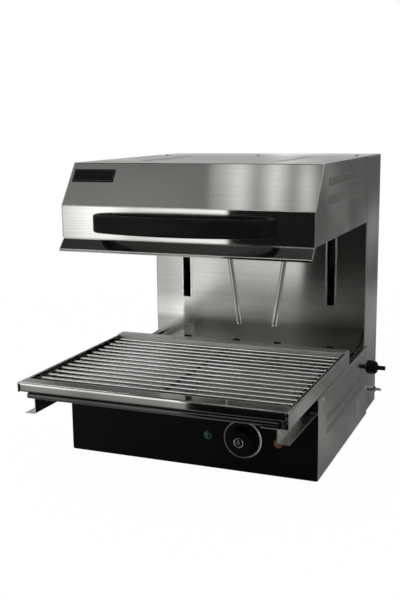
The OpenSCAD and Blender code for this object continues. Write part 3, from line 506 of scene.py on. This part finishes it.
def lens(name, colour):
    """Tinted lamp lens with moulded facets, lighter at each middle, and a clear coat."""
    material, shader = principled(
        name, colour, 0.0, 0.25, Coat_Weight=0.15, Coat_Roughness=0.1, Transmission_Weight=0.25
    )
    tree = material.node_tree
    facets = pattern(tree, 500, 1.0, "ShaderNodeTexVoronoi")
    tinted = tints(tree, facets, colour, [(0.0, 1.5), (0.5, 1.0), (1.0, 0.5)])
    tree.links.new(tinted, shader.inputs["Base Color"])
    relief(tree, shader, facets, 0.0002)
    return material


def fibre_mat(name, colour):
    """Mineral fibre mat: matted strands and soft lumps."""
    material, shader = principled(name, colour, 0.0, 0.95)
    tree = material.node_tree
    strands = pattern(tree, (300, 900, 300), 6.0)
    tinted = tints(tree, strands, colour, [(0.3, 0.7), (0.55, 1.0), (0.75, 1.1)])
    tree.links.new(tinted, shader.inputs["Base Color"])
    relief(tree, shader, strands, 0.0012)
    return material


def heated_tube(name, colours):
    """Heat-darkened sheath: bands of three oxide colours, with a rough scale over them."""
    material, shader = principled(name, colours[1], 0.85, 0.45)
    tree = material.node_tree
    bands = pattern(tree, (9, 40, 40), 4.0)
    scale = pattern(tree, 400, 3.0)
    tinted = shades(tree, bands, list(zip((0.3, 0.5, 0.7), colours)))
    tree.links.new(tinted, shader.inputs["Base Color"])
    tree.links.new(between(tree, scale, 0.35, 0.6), shader.inputs["Roughness"])
    relief(tree, shader, scale, 0.00008)
    return material


def make_finishes(tones):
    """Every finish by its key."""
    steel, bright = tuple(tones.steel), tuple(tones.bright)
    zinc, moulding = tuple(tones.zinc), tuple(tones.moulding)
    return {
        "sheet_x": brushed_sheet("brushed_sheet_along_x", steel, "X"),
        "sheet_y": brushed_sheet("brushed_sheet_along_y", steel, "Y", waves=0.0012),
        "sheet_column": brushed_sheet("brushed_column", steel, "X", 0.13, painted_light=COLUMN_PAINTED_LIGHT),
        "sheet_rear": brushed_sheet("brushed_rear_rail", steel, "X", 0.4),
        "sheet_rail": brushed_sheet("brushed_rail", steel, "X", painted_light=RAIL_PAINTED_SHADE_AND_HIGHLIGHT),
        "sheet_tray": brushed_sheet(
            "brushed_tray", scaled(steel, 0.95), "X", 0.12, painted_light=TRAY_PAINTED_SHADE
        ),
        "bright": plated("bright_plating", bright),
        "rod": plated(
            "polished_rods", scaled(bright, 1.35), 0.1, 0.06, ripple=0.000001, grain=18, detail=1.0
        ),
        "runner": plated("plain_sheet", steel, 0.2, 0.1, ripple=0.000001, grain=30, detail=1.0),
        "dial": spun_ring_painted_light("spun_ring_painted_light", bright),
        "dull": plated("dulled_plating", scaled(bright, 0.22), 0.3, 0.35),
        # Painted shade: near-black steel for the carriages seen in the slots, their bolts and the
        # grid's bars.
        "dark": plated("steel_painted_black_as_shade", scaled(zinc, 0.06), 0.42, 0.4),
        "zinc": plated("zinc_plating", zinc, 0.32, 0.3),
        "spring": plated("spring_wire", scaled(zinc, 0.8), 0.28, 0.35),
        "brass": plated("machined_brass", BRASS, 0.25, 0.3),
        "reflector": brushed_sheet("aluminised_sheet", ALUMINIUM, "X", 0.3),
        "panel": powder_coat("panel_coat", tuple(tones.black)),
        "moulding": moulded("heat_resistant_moulding", moulding, 0.3),
        "knob": moulded("knob_moulding", scaled(moulding, 0.7), 0.36, grain=900),
        "rubber": moulded("black_rubber", scaled(moulding, 1.2), 0.6, grain=350, depth=0.0001),
        "ceramic": moulded("off_white_insulator", INSULATOR, 0.4, grain=200),
        "mat": fibre_mat("mineral_fibre", FIBRE),
        "element": heated_tube("heated_sheath", (OXIDE_BLUE, OXIDE_BROWN, OXIDE_PALE)),
        "green": lens("green_lens", tuple(tones.green)),
        "amber": lens("amber_lens", tuple(tones.amber)),
        "badge": powder_coat("badge_enamel", ENAMEL, 0.22),
        "label": powder_coat("label_foil", FOIL, 0.35, sheen=0.3),
    }


FINISH_NODES = {
    "sheet_column": ("column_front_panel",),
    "sheet_x": ("hood_wrap", "hood_visor", "back_cover"),
    "sheet_rear": ("rack_rear_rail",),
    "sheet_rail": ("rack_front_rail",),
    "sheet_y": (
        "base_casing", "column_shell", "hood_side_left", "hood_side_right", "rack_side_left",
        "rack_side_right",
    ),
    "runner": ("runner_left", "runner_right"),
    "dial": ("dial_ring_chrome",),
    "sheet_tray": ("drip_tray",),
    "bright": (
        "casing_screws", "slot_liners", "guide_rods", "runner_rivets", "knob_cap", "bonding_stud",
        "bonding_nuts",
    ),
    "rod": ("grill_rods",),
    # Painted shade: these parts are made near black where they are seen in shade.
    "dark": ("carriage_left", "carriage_right", "carriage_bolts", "grid_bars"),
    "zinc": (
        "bottom_plate", "foot_screws", "runner_guides", "back_cover_screws", "column_top_screws",
        "rod_bracket_low", "rod_bracket_high", "thermostat", "hood_back_plate", "element_hangers",
        "handle_screws", "hood_fixing_screws",
    ),
    "spring": ("balance_springs",),
    "brass": ("carriage_bushes", "thermostat_spindle"),
    "reflector": ("reflector",),
    "panel": ("control_panel",),
    "moulding": ("hood_handle", "cable_gland", "gland_locknut"),
    "knob": ("control_knob",),
    "rubber": ("feet", "gland_sleeve"),
    "ceramic": ("mains_terminal_block", "element_bushes", "element_terminal_block"),
    "mat": ("insulation_mat",),
    "element": ("front_element", "rear_element"),
    "green": ("power_lamp",),
    "amber": ("heat_lamp",),
}


def dress(piece, key):
    """Gives a piece one finish, by its key, in all its slots."""
    material = bpy.data.materials[bpy.context.scene["melter_finishes"][key]]
    if not piece.material_slots:
        piece.data.materials.append(material)
    for place in piece.material_slots:
        place.material = material


# ---- Operators for the pieces ----

class MELTER_OT_finishes(bpy.types.Operator):
    """Give every carried-over part its finish."""

    bl_idname = "melter.finishes"
    bl_label = "Finishes"

    def execute(self, context):
        made = make_finishes(context.scene.melter_tones)
        context.scene["melter_finishes"] = {key: material.name for key, material in made.items()}
        given = {node: key for key, nodes in FINISH_NODES.items() for node in nodes}
        for node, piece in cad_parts.items():
            dress(piece, given[node])
        return {"FINISHED"}


class MELTER_OT_badge(bpy.types.Operator):
    """Add the bare plate on the hood's slope and the fine line inside its edge."""

    bl_idname = "melter.badge"
    bl_label = "Badge plate"

    def execute(self, context):
        sizes = context.scene.melter_sizes
        low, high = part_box("hood_wrap")
        foot = np.array([0.0, low.y, SLOPE_FOOT_Z])
        top = np.array([0.0, SLOPE_TOP_Y, high.z])
        up = (top - foot) / np.linalg.norm(top - foot)
        across = np.array([1.0, 0.0, 0.0])
        middle = foot + sizes.badge_up * up - sizes.badge_x * across
        rings = raised_plate(sizes.badge_w, sizes.badge_h, BADGE_CORNER, BADGE_LEVELS)
        plate = mesh_piece("badge_plate", placed(rings, middle, across, up), "hood")
        dress(plate, "badge")
        rings = raised_plate(sizes.badge_w, sizes.badge_h, BADGE_LINE_CORNER, BADGE_LINE_LEVELS)
        line = mesh_piece(
            "badge_line", placed(rings, middle, across, up), "hood", capped=False
        )
        dress(line, "dull")
        return {"FINISHED"}


class MELTER_OT_label(bpy.types.Operator):
    """Add the bare foil label low on the base's right side."""

    bl_idname = "melter.label"
    bl_label = "Bare label"

    def execute(self, context):
        sizes = context.scene.melter_sizes
        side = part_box("base_casing")[1].x
        rings = raised_plate(sizes.label_w, sizes.label_h, LABEL_CORNER, LABEL_LEVELS)
        rings = placed(rings, (side, sizes.label_y, sizes.label_z), (0, 1, 0), (0, 0, 1))
        label = mesh_piece("bare_label", rings, "frame")
        dress(label, "label")
        return {"FINISHED"}


class MELTER_OT_cap(bpy.types.Operator):
    """Add the dark inlay in the knob's cap, with a bright pointer and a bright ring on it."""

    bl_idname = "melter.cap"
    bl_label = "Cap inlay and pointer"

    def execute(self, context):
        radius = context.scene.melter_sizes.inlay_r
        low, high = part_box("knob_cap")
        middle = np.array([(low.x + high.x) / 2, high.y - INLAY_FOOT, (low.z + high.z) / 2])
        across, up = (1, 0, 0), (0, 0, 1)
        rings = turned([(share * radius - inset, rise) for share, inset, rise in INLAY_PROFILE])
        inlay = mesh_piece(
            "cap_inlay", placed(rings, middle, across, up), "knob", smooth=True
        )
        dress(inlay, "knob")
        rings = raised_plate(POINTER_WIDTH, POINTER_LENGTH * radius, POINTER_CORNER, POINTER_LEVELS)
        foot = middle + np.array([0, 0, POINTER_PLACE * radius])
        pointer = mesh_piece("cap_pointer", placed(rings, foot, across, up), "knob")
        dress(pointer, "bright")
        rings = turned([(share * radius - inset, rise) for share, inset, rise in EYE_PROFILE])
        eye = mesh_piece(
            "cap_eye", placed(rings, middle, across, up), "knob", capped=False
        )
        dress(eye, "bright")
        return {"FINISHED"}


class MELTER_OT_grip(bpy.types.Operator):
    """Add the bow handle as one smooth bar."""

    bl_idname = "melter.grip"
    bl_label = "Bow handle"

    def execute(self, context):
        low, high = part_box("hood_handle")
        rings = bow_bar(low, high, context.scene.melter_sizes.grip_corner)
        grip = mesh_piece("bow_grip", rings, "hood", smooth=True)
        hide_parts("hood_handle")
        dress(grip, "moulding")
        return {"FINISHED"}


# ---- Stage ----

CAMERA_AT = Vector((0.5876, -1.6178, 0.5894))
CAMERA_TO = Vector((0.00038, -0.183, 0.2856))
CAMERA_ROLL = math.radians(-0.701)
CAMERA_SENSOR = 36                                  # millimetres, along the frame's height
CAMERA_LENS = CAMERA_SENSOR * 909.5 / 600           # 909.5 pixels in a frame 600 high

FLOOR_RADIUS, FLOOR_STEPS, FLOOR_Z = 1.6, 96, -0.0002
FLOOR_CLEAR = 0.985   # share of plain white that the eye sees in the floor

# What polished faces see round the part, as greys. A direction's turn is 0 behind the part, 0.25 at
# its left, 0.5 in front, 0.75 at its right and 1 behind again; its up is the sine of its height.
# Each band starts at a span of up and covers the bands below it. The stops are (turn, brightness).
LOW_WALLS = [
    (0.0, 0.3), (0.2, 0.35), (0.3, 0.5), (0.41, 0.5), (0.44, 0.02), (0.57, 0.02), (0.62, 0.3),
    (0.9, 0.18), (0.96, 0.12), (0.97, 0.12), (1.0, 0.2),
]
WALLS_START, WALLS = (0.0, 0.01), [
    (0.0, 0.5), (0.042, 0.58), (0.0445, 0.9), (0.049, 0.9), (0.0505, 0.55), (0.06, 0.55),
    (0.075, 0.7), (0.14, 0.4), (0.3, 0.4), (0.41, 0.6), (0.44, 0.03), (0.57, 0.03), (0.62, 0.35),
    (0.94, 0.3), (1.0, 0.5),
]
MIDDLE_START, MIDDLE = (0.06, 0.1), [
    (0.0, 0.2), (0.06, 0.3), (0.072, 0.1), (0.087, 0.06), (0.092, 0.3), (0.25, 0.4), (0.3, 0.8),
    (0.38, 0.8), (0.41, 0.4), (0.4555, 0.35), (0.459, 0.05), (0.57, 0.05), (0.62, 0.4), (1.0, 0.2),
]
CEILING_START, CEILING = (0.58, 0.7), [
    (0.0, 0.3), (0.34, 0.31), (0.38, 0.26), (0.5, 0.1), (0.6, 0.4), (1.0, 0.3),
]

# Folds of a bright cloth in the ceiling, left of the front: the stripes lean, start at a span of
# the lean, end at a span of turn, and their lift follows a second, falling slant.
FOLDS_LEAN, FOLDS_START, FOLDS_END = 0.45, (0.7587, 0.7603), (0.42, 0.43)
FOLDS = [
    (0.7597, 0.6), (0.7655, 0.85), (0.772, 1.4), (0.7795, 0.45), (0.7873, 1.4), (0.7952, 0.45),
    (0.8018, 1.3), (0.8055, 0.6), (0.8125, 0.2),
]
FOLDS_FALL, FOLDS_LIFT = -1.085, [(0.4266, 0.62), (0.4446, 0.85), (0.4586, 2.1), (0.4716, 2.5)]

# Uneven low walls, a lit band, a shade above an edge that climbs over a span of turn, and the top.
LUMPS_STRETCH, LUMPS_SPAN, LUMPS_GREY = (40, 40, 11), (0.47, 0.63), 0.32
LAMP_START, LAMP_END = (0.40, 0.45), (0.6, 0.64)
SHADE_EDGE, SHADE_TURN, SHADE_SOFT, SHADE_GREY = (0.797, 0.902), (0.33, 0.3757), 0.004, 0.04
TOP_START = (0.96, 0.975)
LIT_GREY = 1.7

SOFT_LIGHT = 0.75   # strength of the even light on surfaces that aren't polished

# Upright cards in front of the part: their depth, height and edges, and their stops of brightness.
CARD_Y, CARD_Z = -1.227, (-0.6, 0.7)
BRIGHT_CARD_X, DIM_CARD_X = (-1.5, -0.283), (-0.283, 0.6)
BRIGHT_CARD_UP = [
    (-0.6, 0.1), (-0.3, 0.5), (-0.16, 1.1), (0.0, 1.1), (0.1, 0.95), (0.25, 1.25), (0.35, 1.6),
    (0.4, 1.6), (0.43, 0.3), (0.7, 0.3),
]
BRIGHT_CARD_ACROSS = [
    (-1.5, 0.9), (-0.82, 0.75), (-0.72, 1.2), (-0.65, 1.2), (-0.57, 0.85), (-0.45, 1.0),
    (-0.283, 1.1),
]
DIM_CARD_UP, DIM_CARD_ACROSS = [(-0.6, 0.012), (0.7, 0.015)], [(-0.283, 1.0), (0.6, 1.0)]


def add_camera():
    """A camera whose axes are its right, its up and its back, turned a little about its back."""
    data = bpy.data.cameras.new("melter_camera")
    data.sensor_width = CAMERA_SENSOR
    data.lens = CAMERA_LENS
    data.clip_start, data.clip_end = 0.05, 60
    camera = bpy.data.objects.new("melter_camera", data)
    bpy.context.scene.collection.objects.link(camera)
    back = (CAMERA_AT - CAMERA_TO).normalized()
    right = Vector((0, 0, 1)).cross(back).normalized()
    up = back.cross(right)
    c, s = math.cos(CAMERA_ROLL), math.sin(CAMERA_ROLL)
    turned_axes = Matrix((c * right + s * up, c * up - s * right, back)).transposed()
    camera.matrix_world = Matrix.Translation(CAMERA_AT) @ turned_axes.to_4x4()
    bpy.context.scene.camera = camera


def add_lamp(name, at, to, size, power):
    """A soft square lamp that shines from one point towards another."""
    data = bpy.data.lights.new(name, "AREA")
    data.shape = "SQUARE"
    data.size = size
    data.energy = power
    lamp = bpy.data.objects.new(name, data)
    lamp.location = at
    lamp.rotation_mode = "QUATERNION"
    lamp.rotation_quaternion = (Vector(to) - Vector(at)).to_track_quat("-Z", "Y")
    lamp.visible_glossy = False
    bpy.context.scene.collection.objects.link(lamp)


def add_floor(colour):
    """A round plain floor, shown white to the eye apart from the object's shadow."""
    angle = np.linspace(0, 2 * math.pi, FLOOR_STEPS, endpoint=False)
    x, y = FLOOR_RADIUS * np.cos(angle), FLOOR_RADIUS * np.sin(angle)
    rim = np.stack([x, y, np.full(FLOOR_STEPS, FLOOR_Z)], -1)
    mesh = bpy.data.meshes.new("floor")
    mesh.from_pydata(rim.tolist(), [], [list(range(FLOOR_STEPS))])
    floor = bpy.data.objects.new("floor", mesh)
    bpy.context.scene.collection.objects.link(floor)
    material, shader = principled("plain_floor", colour, 0.0, 0.9)
    tree = material.node_tree
    light = tree.nodes.new("ShaderNodeEmission")
    light.inputs["Color"].default_value = (1, 1, 1, 1)
    path = tree.nodes.new("ShaderNodeLightPath")
    clear = combined(tree, path.outputs["Is Camera Ray"], FLOOR_CLEAR, "MULTIPLY")
    shown = blended(tree, clear, shader.outputs["BSDF"], light.outputs["Emission"])
    tree.links.new(shown, tree.nodes["Material Output"].inputs["Surface"])
    mesh.materials.append(material)
    floor.visible_glossy = False


def add_card(name, x_span, up, across):
    """An upright card that only polished faces see; its brightness follows height and width."""
    (x0, x1), (z0, z1) = x_span, CARD_Z
    mesh = bpy.data.meshes.new(name)
    corners = [(x0, CARD_Y, z0), (x1, CARD_Y, z0), (x1, CARD_Y, z1), (x0, CARD_Y, z1)]
    mesh.from_pydata(corners, [], [(0, 1, 2, 3)])
    card = bpy.data.objects.new(name, mesh)
    bpy.context.scene.collection.objects.link(card)
    material = bpy.data.materials.new(name)
    material.use_nodes = True
    tree = material.node_tree
    tree.nodes.remove(tree.nodes["Principled BSDF"])
    place = axes(tree)
    light = tree.nodes.new("ShaderNodeEmission")
    tree.links.new(greys(tree, place["Z"], up), light.inputs["Color"])
    tree.links.new(greys(tree, place["X"], across), light.inputs["Strength"])
    tree.links.new(light.outputs["Emission"], tree.nodes["Material Output"].inputs["Surface"])
    mesh.materials.append(material)
    for way in ("camera", "diffuse", "transmission", "volume_scatter", "shadow"):
        setattr(card, "visible_" + way, False)


def room_greys(tree):
    """The brightness of the studio in each direction, band over band from the floor to the top."""
    way = axes(tree, "Generated")
    up, front = way["Z"], combined(tree, way["Y"], -1.0, "MULTIPLY")
    turn = rising(tree, combined(tree, way["X"], front, "ARCTAN2"), -math.pi, math.pi)
    lumps = rising(tree, pattern(tree, LUMPS_STRETCH, 2.0, space="Generated"), *LUMPS_SPAN)
    seen = layered(tree, lumps, greys(tree, turn, LOW_WALLS), grey(LUMPS_GREY))
    lean = combined(tree, turn, combined(tree, up, FOLDS_LEAN, "MULTIPLY"))
    fall = combined(tree, up, combined(tree, turn, FOLDS_FALL, "MULTIPLY"))
    folds = layered(tree, greys(tree, fall, FOLDS_LIFT), grey(0.0), greys(tree, lean, FOLDS))
    far = greys(tree, turn, CEILING)
    ceiling = layered(tree, rising(tree, lean, *FOLDS_START), far, folds)
    ceiling = layered(tree, rising(tree, turn, *FOLDS_END), ceiling, far)
    walls, middle = greys(tree, turn, WALLS), greys(tree, turn, MIDDLE)
    for start, band in ((WALLS_START, walls), (MIDDLE_START, middle), (CEILING_START, ceiling)):
        seen = layered(tree, rising(tree, up, *start), seen, band)
    lamp = combined(
        tree, rising(tree, up, *LAMP_START), between(tree, up, 1.0, 0.0, *LAMP_END), "MULTIPLY"
    )
    seen = layered(tree, lamp, seen, grey(LIT_GREY))
    edge = between(tree, turn, *SHADE_EDGE, *SHADE_TURN)
    shade = rising(tree, combined(tree, up, edge, "SUBTRACT"), -SHADE_SOFT, SHADE_SOFT)
    seen = layered(tree, shade, seen, grey(SHADE_GREY))
    return layered(tree, rising(tree, up, *TOP_START), seen, grey(LIT_GREY))


def backdrop(tree, colour, strength=1.0):
    """A background shader of one colour, or of a colour that a node gives."""
    node = tree.nodes.new("ShaderNodeBackground")
    feed(tree, colour, node.inputs["Color"])
    node.inputs["Strength"].default_value = strength
    return node.outputs["Background"]


def add_room():
    """White to the eye, an even soft light on the part, and a studio in its polished faces."""
    world = bpy.data.worlds.new("studio")
    bpy.context.scene.world = world
    world.use_nodes = True
    world.cycles.sampling_method = "NONE"
    tree = world.node_tree
    tree.nodes.clear()
    out = tree.nodes.new("ShaderNodeOutputWorld")
    path = tree.nodes.new("ShaderNodeLightPath").outputs
    soft, room = backdrop(tree, grey(1.0), SOFT_LIGHT), backdrop(tree, room_greys(tree))
    polished = blended(tree, path["Is Glossy Ray"], soft, room)
    clear = combined(tree, path["Is Camera Ray"], path["Is Transmission Ray"], "MAXIMUM")
    shown = blended(tree, clear, polished, backdrop(tree, grey(1.0)))
    tree.links.new(shown, out.inputs["Surface"])


class MELTER_OT_stage(bpy.types.Operator):
    """Add the plain floor, the soft light and the camera."""

    bl_idname = "melter.stage"
    bl_label = "Floor, light and camera"

    def execute(self, context):
        add_camera()
        add_room()
        add_floor(tuple(context.scene.melter_tones.floor))
        add_card("card_bright", BRIGHT_CARD_X, BRIGHT_CARD_UP, BRIGHT_CARD_ACROSS)
        add_card("card_dim", DIM_CARD_X, DIM_CARD_UP, DIM_CARD_ACROSS)
        add_lamp("lamp_above", at=(-0.5, -1.2, 2.1), to=(0, -0.1, 0.25), size=1.4, power=16)
        context.scene.view_settings.view_transform = "Standard"
        return {"FINISHED"}


# ---- Panel and registration ----

class MELTER_PT_dressing(bpy.types.Panel):
    """Sizes, colours and steps of the dressing."""

    bl_idname = "MELTER_PT_dressing"
    bl_label = "Cheese melter"
    bl_space_type = "VIEW_3D"
    bl_region_type = "UI"
    bl_category = "Melter"

    def draw(self, context):
        for group in (context.scene.melter_sizes, context.scene.melter_tones):
            for key in group.__annotations__:
                self.layout.prop(group, key)
        for operator in STEPS:
            self.layout.operator(operator.bl_idname)


STEPS = (
    MELTER_OT_stage, MELTER_OT_finishes, MELTER_OT_badge, MELTER_OT_label, MELTER_OT_cap,
    MELTER_OT_grip,
)
CLASSES = (MelterSizes, MelterTones, *STEPS, MELTER_PT_dressing)


def register():
    """Makes the classes known and gives each scene its sizes and colours."""
    for kind in CLASSES:
        bpy.utils.register_class(kind)
    bpy.types.Scene.melter_sizes = bpy.props.PointerProperty(type=MelterSizes)
    bpy.types.Scene.melter_tones = bpy.props.PointerProperty(type=MelterTones)


def unregister():
    """Takes the classes back in the opposite order."""
    del bpy.types.Scene.melter_tones
    del bpy.types.Scene.melter_sizes
    for kind in reversed(CLASSES):
        bpy.utils.unregister_class(kind)


def main():
    """Registers the add-on and runs its steps in order."""
    register()
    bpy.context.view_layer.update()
    for operator in STEPS:
        family, step = operator.bl_idname.split(".")
        getattr(getattr(bpy.ops, family), step)()


if __name__ == "__main__":
    main()
